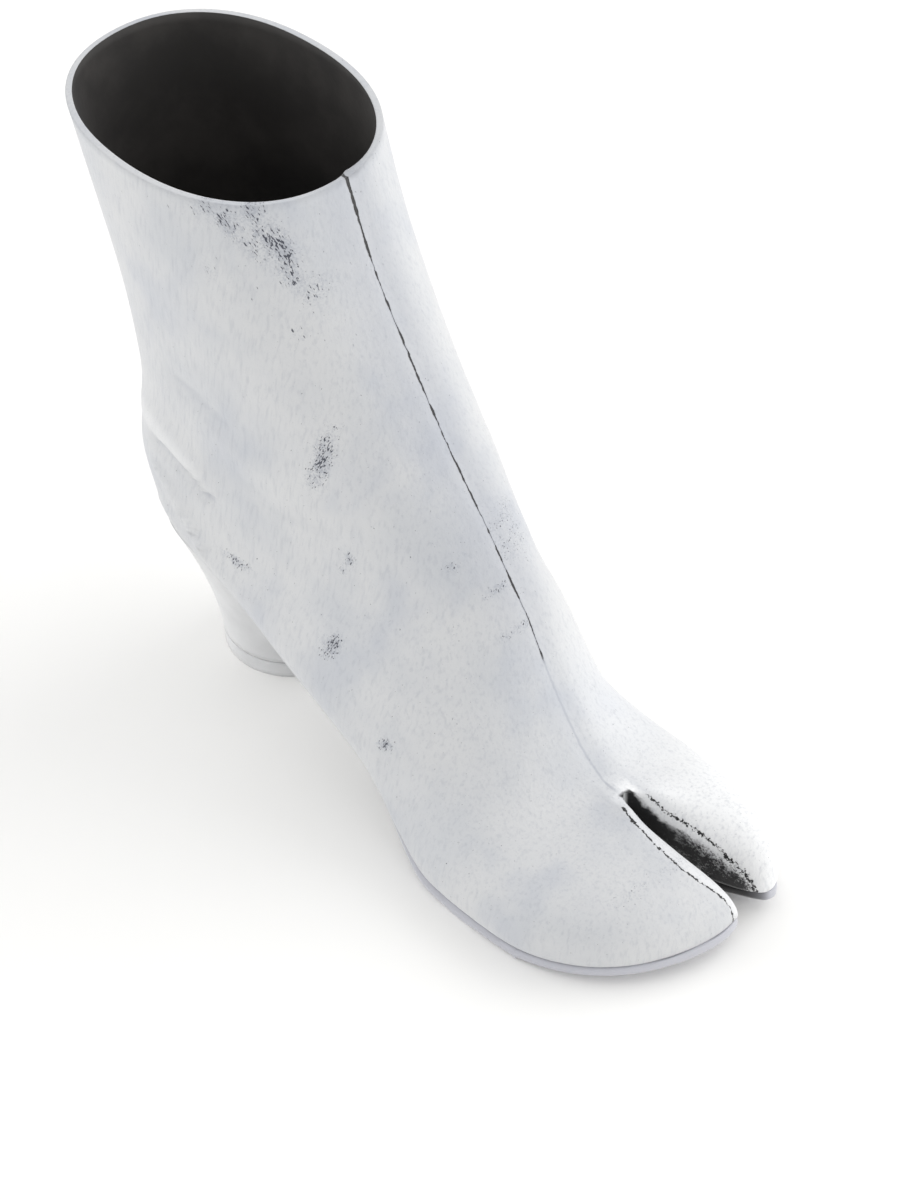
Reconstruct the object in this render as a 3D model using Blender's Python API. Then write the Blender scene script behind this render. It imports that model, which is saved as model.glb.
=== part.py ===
# Split-toe ankle boot on a round covered heel, right foot.
# Frame: X runs forward to the toes, Y to the inner side of the foot, Z up.
# The origin is the middle of the heel's ground face, and all sizes are metres.

import math

import bmesh
import bpy

for old in list(bpy.data.objects):
    bpy.data.objects.remove(old)

# Driving sizes of the foot form
LENGTH = 0.236
BALL_WIDTH = 0.083
SEAT_WIDTH = 0.068
HEEL_HEIGHT = 0.059
TOE_SPRING = 0.0065
INSTEP_RISE = 0.052
SHAFT_HEIGHT = 0.150
SHAFT_WIDTH = 0.078
TOE_HEIGHT = 0.027
CLEFT_LENGTH = 0.053
CLEFT_WIDTH = 0.008
SEAT_ROUND = 0.030
NOSE_ROUND = 0.046
TOP_ROUND = 0.022

# Walls, boards and the heel
UPPER_WALL = 0.002
SOLE_THICKNESS = 0.0035
SOLE_EDGE = 0.0008
INSOLE_THICKNESS = 0.002
INSOLE_CLEARANCE = 0.0009
HEEL_REACH = 0.056
HEEL_INSET = 0.0008
HEEL_TIP_RADIUS = 0.0235
LIFT_THICKNESS = 0.006
GAP = 0.0003

# The heel's ground centre as a share of the length, the cleft's back end as a share of the ball
# width, and how far the cleft turns to the inner side for each step forward
HEEL_CENTRE = 0.145
CLEFT_OFFSET = 0.09
CLEFT_SLANT = 0.20

# Where along the length the seat's width gives way to the ball's, and the sole table's half-width
# at the seat
SEAT_TO_BALL = ((0.10, 0.0), (0.50, 1.0))
SEAT_SHARE = 0.39

# Roundness of the outlines: 2 is an ellipse and more is squarer
SEAT_FULLNESS = 2.2
NOSE_FULLNESS = 2.3
BREAST_FULLNESS = 2.6
HEEL_TAPER = 1.7
CLEFT_SHOULDER = 0.8
CLEFT_DROP = 1.1

# Sole line: along = share of length from the back, rise = share of the heel height above the ball,
# spring = share of the toe spring, outer and inner = half-widths as shares of the ball width,
# thick = share of the sole thickness
SOLE = (
    # along, rise, spring, outer, inner, thick
    (0.000, 1.04, 0.00, 0.365, 0.365, 0.60),
    (0.102, 1.00, 0.00, 0.392, 0.390, 0.60),
    (0.229, 0.85, 0.00, 0.405, 0.380, 0.65),
    (0.340, 0.61, 0.00, 0.410, 0.345, 0.75),
    (0.458, 0.33, 0.00, 0.405, 0.325, 0.90),
    (0.568, 0.08, 0.00, 0.475, 0.400, 1.00),
    (0.640, 0.00, 0.00, 0.520, 0.455, 1.00),
    (0.740, 0.00, 0.00, 0.515, 0.480, 1.00),
    (0.880, 0.00, 0.40, 0.470, 0.455, 1.00),
    (1.000, 0.00, 1.00, 0.430, 0.430, 1.00),
)

# Shaft rings: front and back = shares of length, front_level and back_level = shares of the shaft
# height above the seat, half = half-width as a share of the shaft width, widest = where along
# the chord the ring is widest, fullness = roundness of the ring (2 is an ellipse), seam = how far
# the front seam lies to the inner side, as a share of its place at the cleft
SHAFT = (
    # front, front_level, back, back_level, half, widest, fullness, seam
    (0.350, 1.00, -0.088, 1.00, 0.490, 0.50, 2.2, 0.50),
    (0.384, 0.81, -0.070, 0.81, 0.472, 0.50, 2.2, 0.52),
    (0.437, 0.64, -0.052, 0.62, 0.455, 0.52, 2.2, 0.55),
    (0.496, 0.47, -0.036, 0.44, 0.442, 0.57, 2.3, 0.60),
    (0.542, 0.36, -0.022, 0.28, 0.440, 0.65, 2.4, 0.65),
    (0.578, 0.27, -0.038, 0.13, 0.445, 0.73, 2.4, 0.70),
    (0.603, 0.20, 0.000, 0.00, 0.452, 0.79, 2.4, 0.74),
)

# Foot arches: front = share of length, lift = share of the heel height, rise = share of the
# instep rise, low = where the arch meets the sole, outer and inner = bulge beyond the sole as
# shares of the ball width, seam as in the shaft
FOOT = (
    # front, lift, rise, low, outer, inner, widest, fullness, low_fullness, seam
    (0.624, 0.72, 0.74, 0.102, 0.014, 0.018, 0.90, 2.4, 2.2, 0.78),
    (0.642, 0.56, 0.73, 0.220, 0.022, 0.036, 0.80, 2.3, 2.2, 0.82),
    (0.662, 0.40, 0.70, 0.330, 0.040, 0.070, 0.72, 2.2, 2.1, 0.86),
    (0.687, 0.26, 0.65, 0.440, 0.050, 0.074, 0.67, 2.2, 2.2, 0.90),
    (0.716, 0.14, 0.59, 0.560, 0.036, 0.050, 0.66, 2.3, 2.3, 0.94),
    (0.750, 0.05, 0.57, 0.660, 0.030, 0.032, 0.66, 2.4, 2.4, 0.97),
)

# Toe lobes: reach = share of the cleft length from its back end to the tips, height = share of
# the toe height, gap = share of the cleft width, outer_roll and inner_roll = how far each lobe's
# ridge lies from the cleft, as shares of the ball width
LOBES = (
    # reach, height, gap, outer_roll, inner_roll
    (0.00, 1.00, 0.00, 0.00, 0.00),
    (0.11, 0.98, 0.50, 0.06, 0.06),
    (0.30, 0.94, 0.80, 0.11, 0.10),
    (0.56, 0.84, 0.95, 0.16, 0.13),
    (1.00, 0.70, 1.00, 0.18, 0.14),
)

# Each lobe's tip: across = place as a share of the ball width, short = how far it stops before
# the length's end, as a share of the cleft length
OUTER_TIP = (0.137, 0.100)
INNER_TIP = (0.290, 0.130)

# How finely the surfaces are divided
RING_STEPS = 14
ARCH_STEPS = 20
LOBE_STEPS = 10
FRONT_STEPS = 8
LOW_STEPS = 6
CLEFT_STEPS = 4
BOARD_STEPS = 30
BOARD_COLUMNS = 8
HEEL_SIDES = 40
HEEL_STEPS = 7
ARCH_CROWDING = 1.35
BOARD_CROWDING = 1.3
SEAT_RINGS = (0.7, 0.35, 0.0)

OUTER = -1
INNER = 1

COLOURS = {
    "upper": ((0.72, 0.74, 0.77, 1.0), 0.55),
    "outsole": ((0.45, 0.45, 0.49, 1.0), 0.60),
    "insole": ((0.12, 0.11, 0.11, 1.0), 0.80),
    "heel_block": ((0.62, 0.64, 0.67, 1.0), 0.55),
    "top_lift": ((0.05, 0.05, 0.05, 1.0), 0.85),
}


def along(share):
    return LENGTH * (share - HEEL_CENTRE)


REAR_X = along(0.0)
CLEFT_X = along(1.0) - CLEFT_LENGTH
CLEFT_Y = CLEFT_OFFSET * BALL_WIDTH


def curve(rows, column, at):
    """Smooth value of a column at a place in the first column, with no overshoot."""
    places = [row[0] for row in rows]
    values = [row[column] for row in rows]
    steps = [b - a for a, b in zip(places, places[1:])]
    slopes = [(b - a) / step for a, b, step in zip(values, values[1:], steps)]
    at = min(max(at, places[0]), places[-1])
    index = 0
    while index < len(steps) - 1 and at > places[index + 1]:
        index += 1

    def tangent(knot):
        if knot == 0:
            return slopes[0]
        if knot == len(slopes):
            return slopes[-1]
        before = slopes[knot - 1]
        after = slopes[knot]
        if before * after <= 0:
            return 0.0
        return 2 * before * after / (before + after)

    step = steps[index]
    t = (at - places[index]) / step
    start = (1 + 2 * t) * (1 - t) ** 2 * values[index] + t * (1 - t) ** 2 * step * tangent(index)
    end = t * t * (3 - 2 * t) * values[index + 1] + t * t * (t - 1) * step * tangent(index + 1)
    return start + end


def rounding(distance, radius, power=SEAT_FULLNESS):
    """0 at an end, 1 from one radius away from it, round in between."""
    share = min(max(1 - distance / radius, 0.0), 1.0)
    return (1 - share ** power) ** (1 / power)


def sole_value(x, column):
    return curve(SOLE, column, x / LENGTH + HEEL_CENTRE)


def sole_top(x):
    """Height of the sole's upper face, where the upper stands."""
    rise = sole_value(x, 1) * (HEEL_HEIGHT - SOLE_THICKNESS)
    return SOLE_THICKNESS + rise + sole_value(x, 2) * TOE_SPRING


def sole_bottom(x):
    return sole_top(x) - sole_value(x, 5) * SOLE_THICKNESS


def half_width(x, side):
    """Half-width of the sole line, narrowed at the seat to the seat's own width."""
    share = sole_value(x, 3 if side == OUTER else 4)
    ball = share * BALL_WIDTH
    seat = SEAT_WIDTH / 2 * share / SEAT_SHARE
    toward_ball = curve(SEAT_TO_BALL, 1, x / LENGTH + HEEL_CENTRE)
    return seat + (ball - seat) * toward_ball


def tip(side):
    across, short = OUTER_TIP if side == OUTER else INNER_TIP
    return along(1.0) - short * CLEFT_LENGTH, across * BALL_WIDTH


def edge(x, side, inset=0.0):
    """Place across of the sole's outer edge, round at the seat and at the lobe's nose."""
    tip_x, tip_y = tip(side)
    tip_y += side * inset
    width = (half_width(x, side) - inset) * rounding(x - REAR_X - inset, SEAT_ROUND - inset)
    nose = rounding(tip_x - inset - x, NOSE_ROUND - inset, NOSE_FULLNESS)
    return tip_y + (side * width - tip_y) * nose


def half_section(widest, closing, fullness, low_fullness):
    """Points of half a section: depth down the chord and share of the half-width.

    The width grows from nothing at the front to all of it at the widest depth,
    and falls to the closing share at the foot.
    """
    points = []
    for step in range(FRONT_STEPS + 1):
        angle = math.pi / 2 * step / FRONT_STEPS
        depth = widest * (1 - math.cos(angle) ** (2 / fullness))
        points.append((depth, math.sin(angle) ** (2 / fullness)))
    end = widest + (1 - widest) / (1 - closing ** low_fullness) ** (1 / low_fullness)
    last = math.acos(closing ** (low_fullness / 2))
    for step in range(1, LOW_STEPS + 1):
        angle = last * step / LOW_STEPS
        depth = widest + (end - widest) * math.sin(angle) ** (2 / low_fullness)
        points.append((depth, math.cos(angle) ** (2 / low_fullness)))
    return points


def body_rows():
    """Shaft rings and foot arches as one run of sections in metres.

    Columns: place, front x, front z, low x, low z, outer bulge, inner bulge,
    widest, fullness, low fullness, seam.
    """
    rows = []
    seat_half = half_width(REAR_X, OUTER)
    seat_z = sole_top(REAR_X) + GAP
    for front, front_level, back, back_level, half, widest, fullness, seam in SHAFT:
        front_z = HEEL_HEIGHT + front_level * SHAFT_HEIGHT
        back_z = seat_z + back_level * (HEEL_HEIGHT + SHAFT_HEIGHT - seat_z)
        bulge = half * SHAFT_WIDTH - seat_half
        rows.append((len(rows), along(front), front_z, along(back), back_z,
                     bulge, bulge, widest, fullness, fullness, seam * CLEFT_Y))
    for front, lift, rise, low, outer, inner, widest, fullness, low_fullness, seam in FOOT:
        front_z = lift * HEEL_HEIGHT + rise * INSTEP_RISE
        rows.append((len(rows), along(front), front_z, along(low), 0.0,
                     outer * BALL_WIDTH, inner * BALL_WIDTH, widest, fullness, low_fullness,
                     seam * CLEFT_Y))
    last = FOOT[-1]
    crotch_z = sole_top(CLEFT_X) + GAP + LOBES[0][1] * TOE_HEIGHT
    rows.append((len(rows), CLEFT_X, crotch_z, CLEFT_X, 0.0,
                 last[4] * BALL_WIDTH, last[5] * BALL_WIDTH, last[6], last[7], last[8], CLEFT_Y))
    return rows


BODY = body_rows()
CORNER = len(SHAFT) - 1
CROTCH = len(BODY) - 1


def body_section(place, side):
    """Outer face of the upper from the front seam down to the back line or the sole's edge."""
    _, front_x, front_z, low_x, low_z, outer, inner, widest, full, low_full, seam = [
        curve(BODY, column, place) for column in range(11)]
    bulge = outer if side == OUTER else inner
    low_y = 0.0
    base = half_width(REAR_X, side)
    closing = 0.0
    if place > CORNER:
        low_z = sole_top(low_x) + GAP
        low_y = seam * (place - CORNER) / (CROTCH - CORNER)
        base = abs(side * half_width(low_x, side) - low_y)
        closing = min(abs(edge(low_x, side) - low_y) / (base + bulge), 0.995)
    width = base + bulge
    points = []
    for depth, share in half_section(widest, closing, full, low_full):
        x = front_x + depth * (low_x - front_x)
        z = front_z + depth * (low_z - front_z)
        middle = seam + depth * (low_y - seam)
        points.append((x, middle + side * share * width, z))
    return points


def cleft_line(x):
    """Middle of the cleft, which turns to the inner side toward the tips."""
    return CLEFT_Y + CLEFT_SLANT * (x - CLEFT_X)


def cleft_half(x, inset=0.0):
    """Half the gap between the lobes, widened by the inset and round at its back end."""
    start = cleft_start(inset)
    reach = (x - CLEFT_X) / CLEFT_LENGTH
    gap = curve(LOBES, 2, reach) * CLEFT_WIDTH / 2 + inset
    return gap * rounding(x - start, cleft_round(inset))


def cleft_round(inset):
    """Length of the round back end of the gap."""
    return max(abs(inset), UPPER_WALL)


def cleft_start(inset):
    """Where the gap begins: a board inside the boot parts earlier, the proud sole later.

    The two cleft walls meet at a narrow angle, so their inner faces meet well behind the gap.
    """
    opening = CLEFT_LENGTH * LOBES[1][0]
    if inset < 0:
        return CLEFT_X + opening
    spread = math.atan2(LOBES[1][2] * CLEFT_WIDTH / 2, opening)
    return CLEFT_X - UPPER_WALL / math.sin(spread) - inset


def lobe_edges(x, side, inset=0.0):
    """Outer and cleft-side edges of a lobe's foot."""
    tip_x, tip_y = tip(side)
    tip_y += side * inset
    inner = cleft_line(x) + side * cleft_half(x, inset)
    inner = tip_y + (inner - tip_y) * rounding(tip_x - inset - x, CLEFT_WIDTH, 2.0)
    return edge(x, side, inset), inner


def lobe_section(x, side):
    """Outer face of a lobe: from its ridge to the sole's edge, and from its ridge down the cleft."""
    tip_x, tip_y = tip(side)
    left = tip_x - x
    reach = (x - CLEFT_X) / CLEFT_LENGTH
    height = curve(LOBES, 1, reach) * TOE_HEIGHT * rounding(left, TOP_ROUND, NOSE_FULLNESS)
    roll = curve(LOBES, 3 if side == OUTER else 4, reach) * BALL_WIDTH
    outer, inner = lobe_edges(x, side)
    ridge = cleft_line(x) + side * (cleft_half(x) + roll)
    ridge = tip_y + (ridge - tip_y) * rounding(left, NOSE_ROUND, NOSE_FULLNESS)
    foot_z = sole_top(x) + GAP
    last = BODY[CROTCH]
    bulge = (last[5] if side == OUTER else last[6]) * rounding(left, TOP_ROUND, 2.0)
    width = abs(outer - ridge) + bulge
    closing = min(abs(outer - ridge) / max(width, GAP), 0.995)
    outside = [(x, ridge + side * share * width, foot_z + height * (1 - depth))
               for depth, share in half_section(last[7], closing, last[8], last[9])]
    inside = []
    for step in range(2 * CLEFT_STEPS + 1):
        angle = math.pi / 2 * step / (2 * CLEFT_STEPS)
        share = math.sin(angle) ** CLEFT_SHOULDER
        depth = 1 - math.cos(angle) ** CLEFT_DROP
        inside.append((x, ridge + (inner - ridge) * share, foot_z + height * (1 - depth)))
    return outside, inside


def lobe_stations(side, start, inset=0.0):
    """Places along a lobe, closer together toward its tip, and on a board in the cleft's end."""
    tip_x = tip(side)[0] - inset
    places = [start + (tip_x - start) * math.sin(math.pi / 2 * step / LOBE_STEPS)
              for step in range(LOBE_STEPS + 1)]
    if inset:
        places[1:1] = [start + share * cleft_round(inset) for share in (0.1, 0.4, 1.0)]
    return places


def sheet(bm, sections):
    """A grid whose rows are the given sections."""
    rows = len(sections) - 1
    columns = len(sections[0]) - 1
    made = bmesh.ops.create_grid(bm, x_segments=rows, y_segments=columns, size=1.0)
    for vert in made["verts"]:
        row = round((vert.co.x + 1) / 2 * rows)
        column = round((vert.co.y + 1) / 2 * columns)
        vert.co = sections[row][column]


def material(name):
    colour, roughness = COLOURS[name]
    made = bpy.data.materials.new(name)
    made.use_nodes = True
    shader = made.node_tree.nodes["Principled BSDF"]
    shader.inputs["Base Color"].default_value = colour
    shader.inputs["Roughness"].default_value = roughness
    shader.inputs["Metallic"].default_value = 0.0
    return made


def finish(bm, name, angle=35):
    mesh = bpy.data.meshes.new(name)
    bm.to_mesh(mesh)
    bm.free()
    mesh.shade_smooth()
    mesh.set_sharp_from_angle(angle=math.radians(angle))
    mesh.materials.append(material(name))
    piece = bpy.data.objects.new(name, mesh)
    bpy.context.scene.collection.objects.link(piece)
    return piece


def close_seams(bm):
    """Join the sheets where they share an edge and face them all outward."""
    bmesh.ops.remove_doubles(bm, verts=bm.verts, dist=GAP / 10)
    bmesh.ops.dissolve_degenerate(bm, edges=bm.edges, dist=GAP / 10)
    bmesh.ops.recalc_face_normals(bm, faces=bm.faces)


def make_upper():
    bm = bmesh.new()
    rings = [CORNER * step / RING_STEPS for step in range(RING_STEPS + 1)]
    span = CROTCH - CORNER
    arches = [CORNER + span * (step / ARCH_STEPS) ** ARCH_CROWDING
              for step in range(1, ARCH_STEPS + 1)]
    for side in (OUTER, INNER):
        sheet(bm, [body_section(place, side) for place in rings + arches])
        lobe = [lobe_section(x, side) for x in lobe_stations(side, CLEFT_X)]
        sheet(bm, [outside for outside, _ in lobe])
        sheet(bm, [inside for _, inside in lobe])
    close_seams(bm)
    nose = max(bm.verts, key=lambda vert: vert.co.x)
    if nose.normal.x < 0:
        bmesh.ops.reverse_faces(bm, faces=bm.faces)
    piece = finish(bm, "upper")
    wall = piece.modifiers.new("wall", "SOLIDIFY")
    wall.thickness = UPPER_WALL
    wall.offset = -1
    wall.use_even_offset = True
    wall.thickness_clamp = 1.0


def make_board(name, inset, bottom, top):
    """A board with the sole's outline, split at the toes, between two height functions."""
    bm = bmesh.new()
    split = cleft_start(inset)
    rear = REAR_X + inset
    stations = [rear + (split - rear) * (step / BOARD_STEPS) ** BOARD_CROWDING
                for step in range(BOARD_STEPS + 1)]
    half = BOARD_COLUMNS // 2
    for side in (OUTER, INNER):
        body = []
        for x in stations:
            middle = cleft_line(split) * rounding(x - rear, LENGTH / 2)
            limit = edge(x, side, inset)
            body.append([(x, middle + (limit - middle) * column / half, bottom(x))
                         for column in range(half + 1)])
        body[0] = [(rear, 0.0, bottom(rear))] * (half + 1)
        sheet(bm, body)
        lobe = []
        for x in lobe_stations(side, split, inset):
            outer, inner = lobe_edges(x, side, inset)
            lobe.append([(x, inner + (outer - inner) * column / half, bottom(x))
                         for column in range(half + 1)])
        sheet(bm, lobe)
    close_seams(bm)
    made = bmesh.ops.extrude_face_region(bm, geom=bm.faces[:])
    for vert in made["geom"]:
        if isinstance(vert, bmesh.types.BMVert):
            vert.co.z = top(vert.co.x)
    bmesh.ops.recalc_face_normals(bm, faces=bm.faces)
    finish(bm, name)


def make_outsole():
    make_board("outsole", -SOLE_EDGE, sole_bottom, sole_top)


def insole_bottom(x):
    return sole_top(x) + GAP


def insole_top(x):
    return insole_bottom(x) + INSOLE_THICKNESS


def make_insole():
    inset = UPPER_WALL + INSOLE_CLEARANCE
    make_board("insole", inset, insole_bottom, insole_top)


def heel_ring(level, shrink=1.0):
    """One ring of the heel: 0 is the round tip at the ground, 1 the seat under the sole."""
    blend = level ** HEEL_TAPER
    rear = REAR_X + HEEL_INSET
    back = SEAT_ROUND - HEEL_INSET
    centre = rear + back
    points = []
    for step in range(HEEL_SIDES):
        angle = 2 * math.pi * step / HEEL_SIDES
        c = math.cos(angle)
        s = math.sin(angle)
        reach = back if c < 0 else HEEL_REACH - SEAT_ROUND
        power = 2 / (SEAT_FULLNESS if c < 0 else BREAST_FULLNESS)
        side = OUTER if s < 0 else INNER
        top_x = centre + math.copysign(abs(c) ** power, c) * reach
        top_y = math.copysign(abs(s) ** power, s) * (half_width(centre, side) - HEEL_INSET)
        x = HEEL_TIP_RADIUS * c * (1 - blend) + top_x * blend
        y = HEEL_TIP_RADIUS * s * (1 - blend) + top_y * blend
        x = centre * blend + (x - centre * blend) * shrink
        y *= shrink
        seat = sole_bottom(top_x if shrink == 1.0 else x) - GAP
        low = LIFT_THICKNESS + GAP
        points.append((x, y, low + (seat - low) * level))
    points.append(points[0])
    return points


def make_heel_block():
    bm = bmesh.new()
    rings = [heel_ring(step / HEEL_STEPS) for step in range(HEEL_STEPS + 1)]
    rings += [heel_ring(1.0, shrink) for shrink in SEAT_RINGS]
    sheet(bm, rings)
    bmesh.ops.remove_doubles(bm, verts=bm.verts, dist=GAP / 10)
    rim = [line for line in bm.edges if line.is_boundary]
    bmesh.ops.edgeloop_fill(bm, edges=rim)
    bmesh.ops.recalc_face_normals(bm, faces=bm.faces)
    finish(bm, "heel_block")


def make_top_lift():
    bm = bmesh.new()
    bmesh.ops.create_cone(bm, cap_ends=True, segments=HEEL_SIDES, radius1=HEEL_TIP_RADIUS,
                          radius2=HEEL_TIP_RADIUS, depth=LIFT_THICKNESS)
    bmesh.ops.translate(bm, verts=bm.verts, vec=(0, 0, LIFT_THICKNESS / 2))
    finish(bm, "top_lift")


make_upper()
make_outsole()
make_insole()
make_heel_block()
make_top_lift()
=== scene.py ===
"""Looks of a split-toe ankle boot: white paint worn off black leather, on a round covered heel."""

import math

import bmesh
import bpy
import numpy as np
from mathutils import Matrix, Vector


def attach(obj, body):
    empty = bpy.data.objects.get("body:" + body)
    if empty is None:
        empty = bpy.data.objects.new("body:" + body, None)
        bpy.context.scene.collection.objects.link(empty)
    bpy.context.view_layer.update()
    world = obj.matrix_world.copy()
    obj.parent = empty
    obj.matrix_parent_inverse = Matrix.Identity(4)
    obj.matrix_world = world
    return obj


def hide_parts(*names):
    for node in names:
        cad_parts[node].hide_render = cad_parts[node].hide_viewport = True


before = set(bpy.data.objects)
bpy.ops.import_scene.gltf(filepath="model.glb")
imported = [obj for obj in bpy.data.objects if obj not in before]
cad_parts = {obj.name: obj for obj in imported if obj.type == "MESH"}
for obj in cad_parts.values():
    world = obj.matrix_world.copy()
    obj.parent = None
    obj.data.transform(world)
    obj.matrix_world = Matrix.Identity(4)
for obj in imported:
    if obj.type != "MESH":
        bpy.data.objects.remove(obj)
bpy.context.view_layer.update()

MM = 0.001

# Viewing angle: degrees round the boot, above the floor and of roll, metres to the aimed point
VIEW_AZIMUTH = 53.95
VIEW_ELEVATION = 44.69
VIEW_ROLL = 6.17
VIEW_DISTANCE = 1.2862
VIEW_AIM = (0.0907, -0.0052, 0.0791)

# Focal length and sensor width in mm
LENS = 130.6
SENSOR_WIDTH = 36.0

# The cleft between the toes, taken as a straight line in plan that turns to the inner side
CLEFT_START = 0.1488
CLEFT_Y = 0.0075
CLEFT_SLANT = 0.20

# Half the width of the cleft's black: at its start, and how much it grows for each metre ahead
CLEFT_BLACK = 0.0015
CLEFT_BLACK_GROWTH = 0.085

# The front seam: its place across, where it starts and ends along the boot, and the height where
# its crack closes to a soft crease
SEAM_Y = 0.0062
SEAM_FROM = 0.030
SEAM_TO = 0.149
SEAM_LOW = 0.068

# Folds on the side of the boot: side (-1 outer, 1 inner), depth in mm (below 0 is a ridge),
# half-width in mm, then the line as (x, z) in mm
FOLDS = (
    # side, depth, wide, line
    (-1, 1.5, 2.6, ((-14, 92), (-6, 92), (2, 89), (10, 85))),
    (-1, -1.1, 2.0, ((-17, 82), (-11, 78), (-4, 70), (5, 62))),
    (-1, 0.9, 4.5, ((2, 128), (12, 127), (23, 123))),
    (-1, -1.4, 7.0, ((-22, 99), (-8, 98), (4, 94))),
    (-1, -0.5, 9.0, ((18, 116), (34, 110), (52, 108))),
    (-1, 0.6, 6.0, ((24, 104), (44, 98), (62, 100))),
    (1, 0.8, 3.0, ((-16, 93), (-4, 92), (10, 87), (20, 86))),
    (1, -0.6, 5.0, ((-18, 101), (-2, 99), (14, 95))),
    (1, 0.5, 5.0, ((2, 128), (16, 126), (30, 122))),
    (1, -0.3, 8.0, ((24, 112), (46, 106), (66, 104))),
)

# The depth in mm that counts as a full crease, for painted shade in creases and painted highlight
# on ridges
DEEPEST_FOLD = 1.5

# Folds over the front: depth, half-width, then the line as (x, y, z) in mm
FRONT_FOLDS = (
    # depth, wide, line
    (0.28, 1.6, ((74, -14, 130), (82, -3, 130), (85, 7, 126))),
    (0.30, 3.0, ((70, 26, 118), (86, 16, 120), (92, 7, 116))),
)

# Valley on the inner side of the front seam: depth and width in mm, and how sharp its step is
SEAM_VALLEY = (0.95, 5.5, 0.8)

# Worn places: side, x, z and turn in degrees, half-length and half-width in mm, strength
WORN = (
    # side, x, z, turn, long, wide, strength
    (-1, 34, 200, 130, 14, 2.2, 0.95),
    (-1, 42, 200, 117, 15, 3.0, 1.00),
    (-1, 47, 187, 112, 7, 2.4, 0.75),
    (-1, 31, 205, 0, 9, 4.0, 0.70),
    (-1, 27, 184, 100, 3, 2.0, 0.60),
    (-1, 52, 180, 100, 6, 2.6, 0.55),
    (-1, 51, 168, 110, 3, 2.0, 0.50),
    (-1, 60, 127, 76, 13, 3.4, 1.00),
    (-1, 22, 67, 0, 6, 2.4, 1.00),
    (-1, 68, 92, 70, 6, 1.6, 0.90),
    (-1, 97, 99, 90, 2, 2.0, 0.60),
    (-1, 106, 90, 90, 2, 1.6, 0.60),
    (-1, 113, 78, 90, 2, 1.6, 0.55),
    (-1, 66, 61, 60, 6, 3.2, 1.00),
    (-1, 92, 40, 30, 4, 2.2, 0.95),
    (-1, 179, 28, 20, 3, 2.0, 0.30),
    (1, 98, 101, 120, 12, 4.0, 0.45),
    (1, 30, 150, 100, 10, 3.0, 0.60),
    (1, 60, 64, 20, 7, 2.4, 0.60),
    (1, 20, 190, 80, 9, 3.0, 0.55),
    (1, 118, 30, 20, 6, 2.4, 0.45),
    (1, -10, 74, 40, 5, 2.0, 0.60),
)

# Stitched lines beside the cleft, in plan, as (x, y) in mm: on the outer lobe and the inner lobe
OUTER_STITCH = ((154, 3.2), (160, 2.0), (171, 1.2), (182, 1.2), (188, 3.0), (192, 6.0),
                (197, 10.5))
INNER_STITCH = ((153, 11.8), (160, 13.6), (172, 17.0), (184, 19.8), (190, 21.4), (197, 23.0))

# The leather's edges swell toward each other across the cleft: how far in mm, and how high
CLEFT_SWELL = (1.7, 1.3)

# How far the sole draws in under the seat and waist, in mm, then from which x to which x in metres
# it comes out again; and about half the seat's width
SEAT_TUCK = (1.4, 0.085, 0.118)
SEAT_HALF_WIDTH = 0.034

# Degrees between two faces: over the first an edge stays sharp, over the second it parts the
# outside, the cut rims and the inside of the shell
SHARP_ANGLE = 50
RIM_ANGLE = 60

# Material places on the shell
OUTSIDE = 0
RIM = 1
INSIDE = 2

# Colours: black leather; the paint with its cool and blue clouds, a pale tone for painted light,
# the heel's paint lightened as painted light, a thin tone for thin paint and painted shade, the
# worn ink; the sole's edge and the lining
LEATHER = (0.012, 0.012, 0.013, 1.0)
PAINT = (0.60, 0.606, 0.615, 1.0)
PAINT_COOL = (0.53, 0.545, 0.57, 1.0)
PAINT_BLUE = (0.45, 0.475, 0.53, 1.0)
PALE_PAINT_AND_LIGHT = (0.84, 0.845, 0.85, 1.0)
HEEL_PAINT_AND_LIGHT = (0.69, 0.695, 0.705, 1.0)
THIN_PAINT_AND_SHADE = (0.33, 0.35, 0.40, 1.0)
WORN_INK = (0.055, 0.060, 0.080, 1.0)
SOLE_PAINT = (0.49, 0.495, 0.54, 1.0)
LINING = (0.026, 0.024, 0.023, 1.0)
LINING_PALE = (0.050, 0.046, 0.043, 1.0)

# Studio: the floor's colour and how far it reaches, the sky, and the lights
FLOOR_TONE = (0.96, 0.955, 0.94, 1.0)
FLOOR_REACH = 6.0
SKY_STRENGTH = 0.80
LIGHTS = (
    # name, place, aimed at, size, watts
    ("key", (0.7, 1.6, 1.2), (0.07, 0.0, 0.08), 2.4, 22.0),
    ("front", (1.7, 0.3, 0.5), (0.10, 0.0, 0.05), 1.6, 6.0),
    ("side", (-1.2, -1.1, 0.7), (0.05, 0.0, 0.1), 1.8, 11.0),
)


def set_camera():
    azimuth, elevation, roll = (math.radians(a) for a in (VIEW_AZIMUTH, VIEW_ELEVATION, VIEW_ROLL))
    back = Vector((math.sin(azimuth) * math.cos(elevation),
                   -math.cos(azimuth) * math.cos(elevation), math.sin(elevation)))
    level = Vector((math.cos(azimuth), math.sin(azimuth), 0.0))
    upward = back.cross(level)
    right = level * math.cos(roll) - upward * math.sin(roll)
    top = level * math.sin(roll) + upward * math.cos(roll)
    data = bpy.data.cameras.new("photo_view")
    data.lens = LENS
    data.sensor_width = SENSOR_WIDTH
    camera = bpy.data.objects.new("photo_view", data)
    bpy.context.scene.collection.objects.link(camera)
    turn = Matrix((right, top, back)).transposed().to_4x4()
    camera.matrix_world = Matrix.Translation(Vector(VIEW_AIM) + back * VIEW_DISTANCE) @ turn
    bpy.context.scene.camera = camera


def new_material(name):
    """A new material, the Shader that lays out its nodes, and its main shading node."""
    made = bpy.data.materials.new(name)
    made.use_nodes = True
    return made, Shader(made.node_tree), made.node_tree.nodes["Principled BSDF"]


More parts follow.
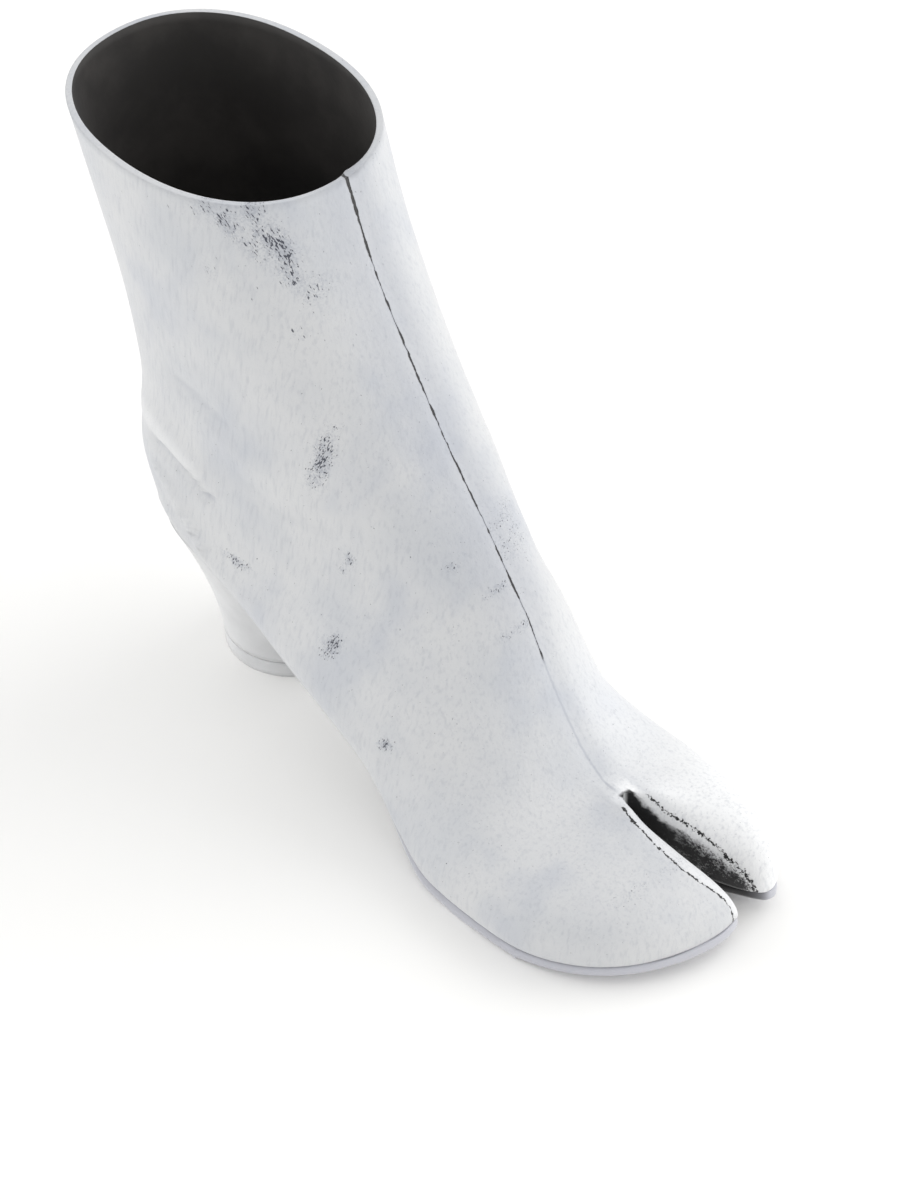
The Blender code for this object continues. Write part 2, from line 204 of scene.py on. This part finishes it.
def plain_material(name, colour, roughness):
    made, _, shader = new_material(name)
    shader.inputs["Base Color"].default_value = colour
    shader.inputs["Roughness"].default_value = roughness
    return made


def area_light(name, place, aim, size, watts):
    data = bpy.data.lights.new(name, "AREA")
    data.shape = "DISK"
    data.size = size
    data.energy = watts
    lamp = bpy.data.objects.new(name, data)
    bpy.context.scene.collection.objects.link(lamp)
    lamp.location = place
    lamp.rotation_euler = (Vector(aim) - Vector(place)).to_track_quat("-Z", "Y").to_euler()


def build_studio():
    bm = bmesh.new()
    bmesh.ops.create_grid(bm, x_segments=1, y_segments=1, size=FLOOR_REACH)
    mesh = bpy.data.meshes.new("floor")
    bm.to_mesh(mesh)
    bm.free()
    mesh.materials.append(plain_material("pale_floor", FLOOR_TONE, 0.9))
    floor = bpy.data.objects.new("floor", mesh)
    bpy.context.scene.collection.objects.link(floor)
    world = bpy.data.worlds.new("studio")
    world.use_nodes = True
    sky = world.node_tree.nodes["Background"]
    sky.inputs["Color"].default_value = (1.0, 1.0, 1.0, 1.0)
    sky.inputs["Strength"].default_value = SKY_STRENGTH
    bpy.context.scene.world = world
    bpy.context.scene.view_settings.view_transform = "Standard"
    for name, place, aim, size, watts in LIGHTS:
        area_light(name, place, aim, size, watts)


def shell_parts(bm):
    """Marks the outside, the cut rims and the inside, as areas parted by sharp edges."""
    for face in bm.faces:
        face.tag = False
    areas = []
    for first in bm.faces:
        if first.tag:
            continue
        first.tag = True
        area = [first]
        for face in area:
            for edge in face.edges:
                if edge.calc_face_angle(0.0) > math.radians(RIM_ANGLE):
                    continue
                for other in edge.link_faces:
                    if not other.tag:
                        other.tag = True
                        area.append(other)
        areas.append(area)
    areas.sort(key=len)
    for area in areas:
        for face in area:
            face.material_index = RIM
    outer, inner = sorted(areas[-2:], key=lambda area: -max(
        vert.co.x for face in area for vert in face.verts))
    for face in outer:
        face.material_index = OUTSIDE
    for face in inner:
        face.material_index = INSIDE


def refined(node, name, levels, sharp=1.0):
    """A finer copy of a solid, smooth over its faces and sharp along its cut edges."""
    bm = bmesh.new()
    bm.from_mesh(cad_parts[node].data)
    bmesh.ops.remove_doubles(bm, verts=bm.verts, dist=0.01 * MM)
    bmesh.ops.join_triangles(bm, faces=bm.faces, angle_face_threshold=math.radians(30),
                             angle_shape_threshold=math.radians(60))
    crease = bm.edges.layers.float.new("crease_edge")
    for edge in bm.edges:
        if edge.calc_face_angle(0.0) > math.radians(SHARP_ANGLE):
            edge[crease] = sharp
    for face in bm.faces:
        face.smooth = True
        face.material_index = OUTSIDE
    if node == "upper":
        shell_parts(bm)
    mesh = bpy.data.meshes.new(name)
    bm.to_mesh(mesh)
    bm.free()
    coarse = bpy.data.objects.new(name + "_coarse", mesh)
    bpy.context.scene.collection.objects.link(coarse)
    finer = coarse.modifiers.new("finer", "SUBSURF")
    finer.levels = levels
    finer.render_levels = levels
    bpy.context.view_layer.update()
    evaluated = coarse.evaluated_get(bpy.context.evaluated_depsgraph_get())
    fine = bpy.data.meshes.new_from_object(evaluated)
    fine.name = name
    bpy.data.objects.remove(coarse)
    piece = bpy.data.objects.new(name, fine)
    bpy.context.scene.collection.objects.link(piece)
    return piece


def places_of(mesh):
    values = np.empty(len(mesh.vertices) * 3)
    mesh.vertices.foreach_get("co", values)
    return values.reshape(-1, 3)


def normals_of(mesh):
    values = np.empty(len(mesh.vertices) * 3)
    mesh.vertex_normals.foreach_get("vector", values)
    return values.reshape(-1, 3)


def move_to(mesh, points):
    mesh.vertices.foreach_set("co", points.ravel())
    mesh.update()


def eased(share):
    """A share from 0 to 1 that starts and ends softly."""
    return share * share * (3 - 2 * share)


def cleft_places(points):
    """How far each point is ahead of the cleft's start and across from its middle, in mm."""
    ahead = (points[:, 0] - CLEFT_START) / MM
    return ahead, (points[:, 1] - CLEFT_Y) / MM - CLEFT_SLANT * ahead


def distance_to(points, line):
    """Distance of each point to a line of corners."""
    best = np.full(len(points), 1.0)
    line = np.array(line, dtype=float) * MM
    for start, end in zip(line, line[1:]):
        run = end - start
        share = np.clip((points - start) @ run / (run @ run), 0.0, 1.0)
        away = np.linalg.norm(points - (start + share[:, None] * run), axis=1)
        best = np.minimum(best, away)
    return best


def inner_wall(mesh):
    """True for each vertex on the inside of the shell."""
    inside = np.zeros(len(mesh.vertices), dtype=bool)
    for face in mesh.polygons:
        if face.material_index == INSIDE:
            inside[list(face.vertices)] = True
    return inside


def press_folds(mesh):
    """Moves both walls of the shell together into the folds, and notes where they crease for
    painted shade.
    """
    points = places_of(mesh)
    outward = normals_of(mesh) * np.where(inner_wall(mesh), -1.0, 1.0)[:, None]
    sink = np.zeros(len(points))
    crease = np.zeros(len(points))
    for side, depth, wide, line in FOLDS:
        away = distance_to(points[:, (0, 2)], line)
        on_side = np.clip(side * points[:, 1] / (12 * MM), 0.0, 1.0)
        sink += depth * MM * np.exp(-(away / (wide * MM)) ** 2) * on_side
        # Crease guide: above 0 along folds for painted shade, below 0 along ridges for painted
        # highlight
        crease += depth / DEEPEST_FOLD * np.exp(-(away / (0.7 * wide * MM)) ** 2) * on_side
    add_values(mesh, "crease", crease)
    depth, wide, step = SEAM_VALLEY
    past = (points[:, 1] - SEAM_Y) / MM
    front = np.clip((points[:, 0] - SEAM_FROM) / (6 * MM), 0.0, 1.0)
    front = front * np.clip((SEAM_TO + MM - points[:, 0]) / (6 * MM), 0.0, 1.0)
    valley = np.exp(-np.clip(past, 0.0, None) / wide) / (1 + np.exp(-past / (step / 3)))
    sink += depth * MM * valley * front
    for depth, wide, line in FRONT_FOLDS:
        away = distance_to(points, line)
        sink += depth * MM * np.exp(-(away / (wide * MM)) ** 2)
    points = points - outward * sink[:, None]
    move_to(mesh, points)


def swell_cleft(mesh):
    """Brings the two edges of the cleft closer over its middle and rounds their shoulders."""
    points = places_of(mesh)
    ahead, across = cleft_places(points)
    along_cleft = np.clip(ahead / 9.0, 0.0, 1.0) * np.clip((44.0 - ahead) / 26.0, 0.0, 1.0)
    along_cleft = eased(along_cleft)
    above = np.clip((points[:, 2] / MM - 9.0) / 12.0, 0.0, 1.0)
    inward = CLEFT_SWELL[0] * np.exp(-((np.abs(across) - 4.0) / 6.0) ** 2)
    upward = CLEFT_SWELL[1] * np.exp(-((np.abs(across) - 6.0) / 3.5) ** 2)
    points[:, 1] -= np.sign(across) * inward * along_cleft * above * MM
    points[:, 2] += upward * along_cleft * above * MM
    bead = np.exp(-((ahead + 1.5) / 3.0) ** 2 - ((across - 1.0) / 3.4) ** 2)
    points[:, 2] += 0.8 * bead * above * MM
    move_to(mesh, points)


def tuck_seat(mesh):
    """Draws the sole's edge in under the upper at the seat and waist, where none of it shows."""
    points = places_of(mesh)
    reach, start, end = SEAT_TUCK
    share = eased(np.clip((end - points[:, 0]) / (end - start), 0.0, 1.0))
    points[:, 1] -= reach * MM * share * np.clip(points[:, 1] / SEAT_HALF_WIDTH, -1.0, 1.0)
    behind = np.clip(-points[:, 0] / SEAT_HALF_WIDTH, 0.0, 1.0)
    points[:, 0] += 0.4 * reach * MM * share * behind
    move_to(mesh, points)


def round_tips(mesh, aside, back):
    """Rounds the lobes' corners beside the cleft: how far aside and how far back, in mm."""
    points = places_of(mesh)
    ahead, across = cleft_places(points)
    tip = eased(np.clip((ahead - 24.0) / 20.0, 0.0, 1.0))
    near = np.exp(-(across / 9.0) ** 2) * tip
    points[:, 1] += np.sign(across) * aside * near * MM
    points[:, 0] -= back * near * MM
    move_to(mesh, points)


def wear_of(points):
    """How worn the paint is at each point, from 0 to 1."""
    wear = np.zeros(len(points))
    for side, x, z, turn, long, wide, strength in WORN:
        angle = math.radians(turn)
        step = points[:, (0, 2)] - np.array((x, z)) * MM
        ahead = step[:, 0] * math.cos(angle) + step[:, 1] * math.sin(angle)
        across = step[:, 1] * math.cos(angle) - step[:, 0] * math.sin(angle)
        spot = np.exp(-((ahead / (long * MM)) ** 2 + (across / (wide * MM)) ** 2) ** 2)
        wear = np.maximum(wear, strength * spot * (side * (points[:, 1] - SEAM_Y) > 0))
    return wear


def add_values(mesh, name, values):
    layer = mesh.attributes.new(name, "FLOAT", "POINT")
    layer.data.foreach_set("value", values.astype(np.float32))


def paint_guides(mesh):
    """Writes on the mesh how far each point is across from the stitched lines, and its wear."""
    points = places_of(mesh)
    for name, line in (("outer_stitch", OUTER_STITCH), ("inner_stitch", INNER_STITCH)):
        xs, ys = zip(*line)
        add_values(mesh, name, points[:, 1] - np.interp(points[:, 0] / MM, xs, ys) * MM)
    add_values(mesh, "wear", wear_of(points))


class Shader:
    """Short calls to lay out a material's nodes."""

    def __init__(self, tree):
        self.tree = tree

    def node(self, kind, **settings):
        made = self.tree.nodes.new(kind)
        for key, value in settings.items():
            setattr(made, key, value)
        return made

    def feed(self, socket, value):
        if hasattr(value, "is_output"):
            self.tree.links.new(value, socket)
        else:
            socket.default_value = value

    def math(self, operation, a, b=0.0, c=0.0):
        made = self.node("ShaderNodeMath", operation=operation)
        for socket, value in zip(made.inputs, (a, b, c)):
            self.feed(socket, value)
        return made.outputs[0]

    def ramp(self, value, low, high, start=0.0, end=1.0):
        """Smooth step of a value from low to high, mapped to start and end."""
        made = self.node("ShaderNodeMapRange", interpolation_type="SMOOTHSTEP")
        for socket, given in zip(made.inputs, (value, low, high, start, end)):
            self.feed(socket, given)
        return made.outputs[0]

    def mix(self, share, a, b):
        made = self.node("ShaderNodeMix", data_type="RGBA")
        self.feed(made.inputs[0], share)
        self.feed(made.inputs[6], a)
        self.feed(made.inputs[7], b)
        return made.outputs[2]

    def place(self):
        return self.node("ShaderNodeTexCoord").outputs["Object"]

    def axes(self, place):
        """The x, y and z of a place, in metres."""
        split = self.node("ShaderNodeSeparateXYZ")
        self.feed(split.inputs[0], place)
        return split.outputs

    def cleft_place(self, x, y):
        """How far a place is ahead of the cleft's start and aside from its middle, in metres."""
        ahead = self.math("SUBTRACT", x, CLEFT_START)
        middle = self.math("ADD", self.math("MULTIPLY", ahead, CLEFT_SLANT), CLEFT_Y)
        return ahead, self.math("SUBTRACT", y, middle)

    def guide(self, name):
        return self.node("ShaderNodeAttribute", attribute_name=name).outputs["Fac"]

    def noise(self, place, scale, detail=3.0, roughness=0.55):
        made = self.node("ShaderNodeTexNoise")
        self.feed(made.inputs["Vector"], place)
        for key, value in (("Scale", scale), ("Detail", detail), ("Roughness", roughness)):
            self.feed(made.inputs[key], value)
        return made.outputs["Fac"]

    def clouded(self, colour, cloud_colour, cloud_scale, grain_scale):
        """Places the shared surface; gives its Clouded colour and its Grain height."""
        made = self.node("ShaderNodeGroup", node_tree=bpy.data.node_groups["clouds_and_grain"])
        for socket, value in zip(made.inputs, (colour, cloud_colour, cloud_scale, grain_scale)):
            self.feed(socket, value)
        return made.outputs

    def stretched(self, place, turn, scale):
        """The place for a pattern that is turned, then drawn out by a scale along each axis."""
        made = self.node("ShaderNodeMapping", vector_type="TEXTURE")
        self.feed(made.inputs["Vector"], place)
        made.inputs["Rotation"].default_value = [math.radians(a) for a in turn]
        made.inputs["Scale"].default_value = scale
        return made.outputs["Vector"]

    def bump(self, height, distance, strength):
        made = self.node("ShaderNodeBump")
        made.inputs["Strength"].default_value = strength
        made.inputs["Distance"].default_value = distance
        self.feed(made.inputs["Height"], height)
        return made.outputs["Normal"]


def build_surface():
    """The surface that every leather here shares: clouds of two colours and a fine grain."""
    group = bpy.data.node_groups.new("clouds_and_grain", "ShaderNodeTree")
    for name, way, kind in (("Colour", "INPUT", "NodeSocketColor"),
                            ("Cloud Colour", "INPUT", "NodeSocketColor"),
                            ("Cloud Scale", "INPUT", "NodeSocketFloat"),
                            ("Grain Scale", "INPUT", "NodeSocketFloat"),
                            ("Clouded", "OUTPUT", "NodeSocketColor"),
                            ("Grain", "OUTPUT", "NodeSocketFloat")):
        group.interface.new_socket(name, in_out=way, socket_type=kind)
    s = Shader(group)
    given = s.node("NodeGroupInput").outputs
    given_out = s.node("NodeGroupOutput").inputs
    place = s.place()
    cloud = s.ramp(s.noise(place, given["Cloud Scale"], 4.0), 0.35, 0.70)
    s.feed(given_out["Clouded"], s.mix(cloud, given["Colour"], given["Cloud Colour"]))
    s.feed(given_out["Grain"], s.noise(place, given["Grain Scale"], 3.0))


def painted_leather():
    """Matte white paint over black leather, with cracked seams, worn streaks and a black cleft."""
    made, s, shader = new_material("painted_leather")
    place = s.place()
    x, y, z = s.axes(place)

    # The cracked front seam, with a thin shade beside it
    ragged = s.math("SUBTRACT", s.noise(place, 420.0), 0.5)
    fine = s.noise(place, 1500.0, 2.0)

    seam_away = s.math("ABSOLUTE", s.math("ADD", s.math("SUBTRACT", y, SEAM_Y),
                                          s.math("MULTIPLY", ragged, 0.0008)))
    in_front = s.math("MULTIPLY", s.ramp(x, SEAM_FROM, SEAM_FROM + 0.004),
                      s.ramp(x, SEAM_TO - 0.003, SEAM_TO, 1.0, 0.0))
    open_crack = s.ramp(z, SEAM_LOW - 0.004, SEAM_LOW)
    seam_wide = s.ramp(s.noise(place, 200.0, 3.0), 0.38, 0.60, -0.00005, 0.00030)
    seam_wide = s.math("ADD", seam_wide, s.ramp(z, 0.180, 0.198, 0.0, 0.00025))
    seam_line = s.ramp(s.math("SUBTRACT", seam_away, seam_wide), 0.0, 0.00025, 1.0, 0.0)
    seam_line = s.math("MULTIPLY", s.math("MULTIPLY", seam_line, in_front), open_crack)
    seam_shade = s.math("MULTIPLY", s.ramp(seam_away, 0.0001, 0.0007, 0.5, 0.0), in_front)

    # The stitched lines beside the cleft
    jagged = s.math("MULTIPLY", s.math("SUBTRACT", s.noise(place, 1100.0, 2.0), 0.5), 0.0014)
    outer = s.math("ABSOLUTE", s.math("ADD", s.guide("outer_stitch"), jagged))
    inner = s.math("ABSOLUTE", s.math("ADD", s.guide("inner_stitch"), jagged))
    stitch_wide = s.ramp(s.noise(place, 620.0, 2.0), 0.38, 0.62, -0.00006, 0.00036)
    outer_line = s.ramp(s.math("SUBTRACT", outer, stitch_wide), 0.0, 0.0002, 1.0, 0.0)
    outer_line = s.math("MULTIPLY", outer_line, s.ramp(x, 0.1535, 0.1545))
    inner_wide = s.math("MULTIPLY", stitch_wide, 0.45)
    inner_line = s.ramp(s.math("SUBTRACT", inner, inner_wide), 0.0, 0.0001, 1.0, 0.0)
    inner_line = s.math("MULTIPLY", inner_line, s.ramp(x, 0.1545, 0.1555))
    stitch_line = s.math("MAXIMUM", outer_line, inner_line)
    stitch_line = s.math("MULTIPLY", stitch_line, s.ramp(z, 0.006, 0.010))

    # The black of the cleft, with a ragged edge
    ahead, aside = s.cleft_place(x, y)
    edge = s.math("ADD", s.math("ABSOLUTE", aside), s.math("MULTIPLY", ragged, 0.0009))
    speck_size = s.ramp(ahead, 0.012, 0.030, 0.0002, 0.0012)
    edge = s.math("ADD", edge, s.math("MULTIPLY", s.math("SUBTRACT", fine, 0.5), speck_size))
    half_gap = s.math("MULTIPLY_ADD", ahead, CLEFT_BLACK_GROWTH, CLEFT_BLACK)
    cleft_black = s.ramp(s.math("SUBTRACT", edge, half_gap), 0.0, 0.0006, 1.0, 0.0)
    cleft_black = s.math("MULTIPLY", cleft_black, s.ramp(ahead, 0.0003, 0.0018))
    cleft_black = s.math("MULTIPLY", cleft_black, s.ramp(x, 0.1890, 0.1915, 1.0, 0.0))

    # Worn places, scratched in fine dashes, and stray specks
    wear = s.guide("wear")
    patch = s.noise(place, 150.0, 2.0)
    wear = s.math("MULTIPLY", wear, s.ramp(patch, 0.30, 0.62, 0.55, 1.1))
    top_dashes = s.noise(s.stretched(place, (0, 56, 0), (5.0, 1.0, 1.0)), 1900.0, 2.0, 0.5)
    low_dashes = s.noise(s.stretched(place, (0, -62, 0), (4.0, 1.0, 1.0)), 2100.0, 2.0, 0.5)
    near_top = s.ramp(z, 0.150, 0.165)
    dashes = s.math("ADD", s.math("MULTIPLY", top_dashes, near_top),
                    s.math("MULTIPLY", low_dashes, s.math("SUBTRACT", 1.0, near_top)))
    worn = s.ramp(s.math("ADD", dashes, s.math("MULTIPLY", wear, 0.210)), 0.725, 0.785)
    speckled = s.math("MULTIPLY_ADD", patch, 0.2, s.noise(place, 1100.0, 1.0))
    specks = s.ramp(speckled, 0.91, 0.96, 0.0, 0.6)
    thin = s.ramp(s.math("ADD", fine, s.math("MULTIPLY", wear, 0.4)), 0.58, 1.0, 0.0, 0.65)

    bare = s.math("MAXIMUM", s.math("MAXIMUM", seam_line, stitch_line), cleft_black)

    # The paint, tone over tone: clouds, blue, darker by the seam, painted light low on the inner
    # side and along the cleft, strokes, painted shade in creases and painted highlight on ridges,
    # wear
    surface = s.clouded(PAINT, PAINT_COOL, 26.0, 900.0)
    paint = surface["Clouded"]
    blue = s.ramp(s.noise(s.stretched(place, (0, 20, 0), (1.0, 1.0, 2.0)), 34.0, 3.0), 0.50, 0.72)
    paint = s.mix(s.math("MULTIPLY", blue, 0.6), paint, PAINT_BLUE)
    # Darker paint near the front seam, above about 6 cm
    darker_by_seam = s.math("MULTIPLY", s.ramp(seam_away, 0.002, 0.018, 0.40, 0.0),
                        s.ramp(z, 0.06, 0.09))
    paint = s.mix(darker_by_seam, paint, THIN_PAINT_AND_SHADE)
    # Painted light: paler paint low on the inner side, strongest on the far lobe, where the lamps
    # reach less
    painted_light_inner = s.math("MULTIPLY", s.ramp(y, 0.006, 0.016), s.ramp(z, 0.035, 0.085, 1.0, 0.0))
    painted_light_inner = s.math("MULTIPLY", painted_light_inner, s.ramp(x, 0.135, 0.165, 0.45, 0.95))
    paint = s.mix(painted_light_inner, paint, PALE_PAINT_AND_LIGHT)
    # The pale border between the stitched lines and the cleft, with painted light that grows onto
    # the inner wall in shade
    strip = s.math("MULTIPLY", s.ramp(s.guide("outer_stitch"), -0.001, 0.001),
                   s.ramp(s.guide("inner_stitch"), -0.001, 0.001, 1.0, 0.0))
    strip = s.math("MULTIPLY", strip, s.ramp(x, 0.140, 0.150))
    strip = s.math("MULTIPLY", strip, s.ramp(aside, -0.001, 0.001, 0.4, 1.0))
    paint = s.mix(strip, paint, PALE_PAINT_AND_LIGHT)
    strokes = s.noise(s.stretched(place, (0, 12, 0), (1.0, 1.0, 7.0)), 900.0, 2.0)
    paint = s.mix(s.ramp(strokes, 0.45, 0.80, 0.0, 0.30), paint, THIN_PAINT_AND_SHADE)
    # Painted shade in the folds' creases and painted highlight on their ridges
    crease = s.guide("crease")
    paint = s.mix(s.ramp(crease, 0.15, 1.0, 0.0, 0.55), paint, THIN_PAINT_AND_SHADE)
    paint = s.mix(s.ramp(crease, -0.15, -1.0, 0.0, 0.35), paint, PALE_PAINT_AND_LIGHT)
    paint = s.mix(s.math("MAXIMUM", thin, seam_shade), paint, THIN_PAINT_AND_SHADE)
    paint = s.mix(s.math("MAXIMUM", worn, specks), paint, WORN_INK)
    s.feed(shader.inputs["Base Color"], s.mix(bare, paint, LEATHER))
    shader.inputs["Sheen Weight"].default_value = 0.45
    shader.inputs["Sheen Roughness"].default_value = 0.4
    s.feed(shader.inputs["Roughness"], s.ramp(bare, 0.0, 1.0, 0.56, 0.48))

    # Relief: grain and brush marks, sunk where the paint is worn or open
    brush = s.noise(s.stretched(place, (0, 12, 0), (1.0, 1.0, 4.0)), 420.0, 3.0)
    height = s.math("ADD", s.math("MULTIPLY", surface["Grain"], 0.6),
                    s.math("MULTIPLY", brush, 1.2))
    height = s.math("SUBTRACT", height, s.math("MULTIPLY", worn, 0.5))
    height = s.math("SUBTRACT", height, s.math("MULTIPLY", bare, 1.6))
    s.feed(shader.inputs["Normal"], s.bump(height, 0.00016, 0.9))
    return made


def covered(name, colour, cloud_colour, roughness, sheen, toe_colour=None):
    """Leather of two clouded colours with a fine grain; with a toe colour, also painted shade in
    black beside the cleft.
    """
    made, s, shader = new_material(name)
    surface = s.clouded(colour, cloud_colour, 40.0, 700.0)
    paint = surface["Clouded"]
    if toe_colour:
        x, y, _ = s.axes(s.place())
        paint = s.mix(s.ramp(x, 0.080, 0.115), paint, toe_colour)
        ahead, aside = s.cleft_place(x, y)
        # Painted shade: black on the sole's edge beside the cleft, under the lobes
        painted_cleft_shade = s.math("MULTIPLY", s.ramp(aside, -0.0050, -0.0038),
                          s.ramp(aside, 0.005, 0.009, 1.0, 0.0))
        paint = s.mix(s.math("MULTIPLY", painted_cleft_shade, s.ramp(ahead, 0.0, 0.003)), paint, LEATHER)
    s.feed(shader.inputs["Base Color"], paint)
    shader.inputs["Roughness"].default_value = roughness
    shader.inputs["Sheen Weight"].default_value = sheen
    shader.inputs["Sheen Roughness"].default_value = 0.4
    s.feed(shader.inputs["Normal"], s.bump(surface["Grain"], 0.00010, 0.6))
    return made


def dress(piece, node, material_list):
    areas = [face.material_index for face in piece.data.polygons]
    piece.data.materials.clear()
    for made in material_list:
        piece.data.materials.append(made)
    piece.data.polygons.foreach_set("material_index", areas)
    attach(piece, "root")
    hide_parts(node)


def make_upper():
    piece = refined("upper", "boot_upper", 2)
    swell_cleft(piece.data)
    round_tips(piece.data, 0.2, 2.4)
    press_folds(piece.data)
    paint_guides(piece.data)
    paint = painted_leather()
    lining = covered("lining_leather", LINING, LINING_PALE, 0.7, 0.1)
    dress(piece, "upper", [paint, paint, lining])


def make_outsole():
    piece = refined("outsole", "boot_outsole", 2, 0.55)
    tuck_seat(piece.data)
    round_tips(piece.data, 1.5, 3.4)
    dress(piece, "outsole", [covered("sole_paint", PAINT, PAINT_COOL, 0.6, 0.45, SOLE_PAINT)])


def make_heel():
    # The heel's paint is lighter than the upper's: painted light on the low heel, which the lamps
    # light less
    look = covered("heel_paint", HEEL_PAINT_AND_LIGHT, PAINT, 0.6, 0.45)
    for node in ("heel_block", "top_lift"):
        dress(refined(node, "boot_" + node, 2), node, [look])


def make_insole():
    look = covered("insole_leather", LINING, LINING_PALE, 0.8, 0.1)
    dress(refined("insole", "boot_insole", 1), "insole", [look])


set_camera()
build_studio()
build_surface()
make_upper()
make_outsole()
make_heel()
make_insole()
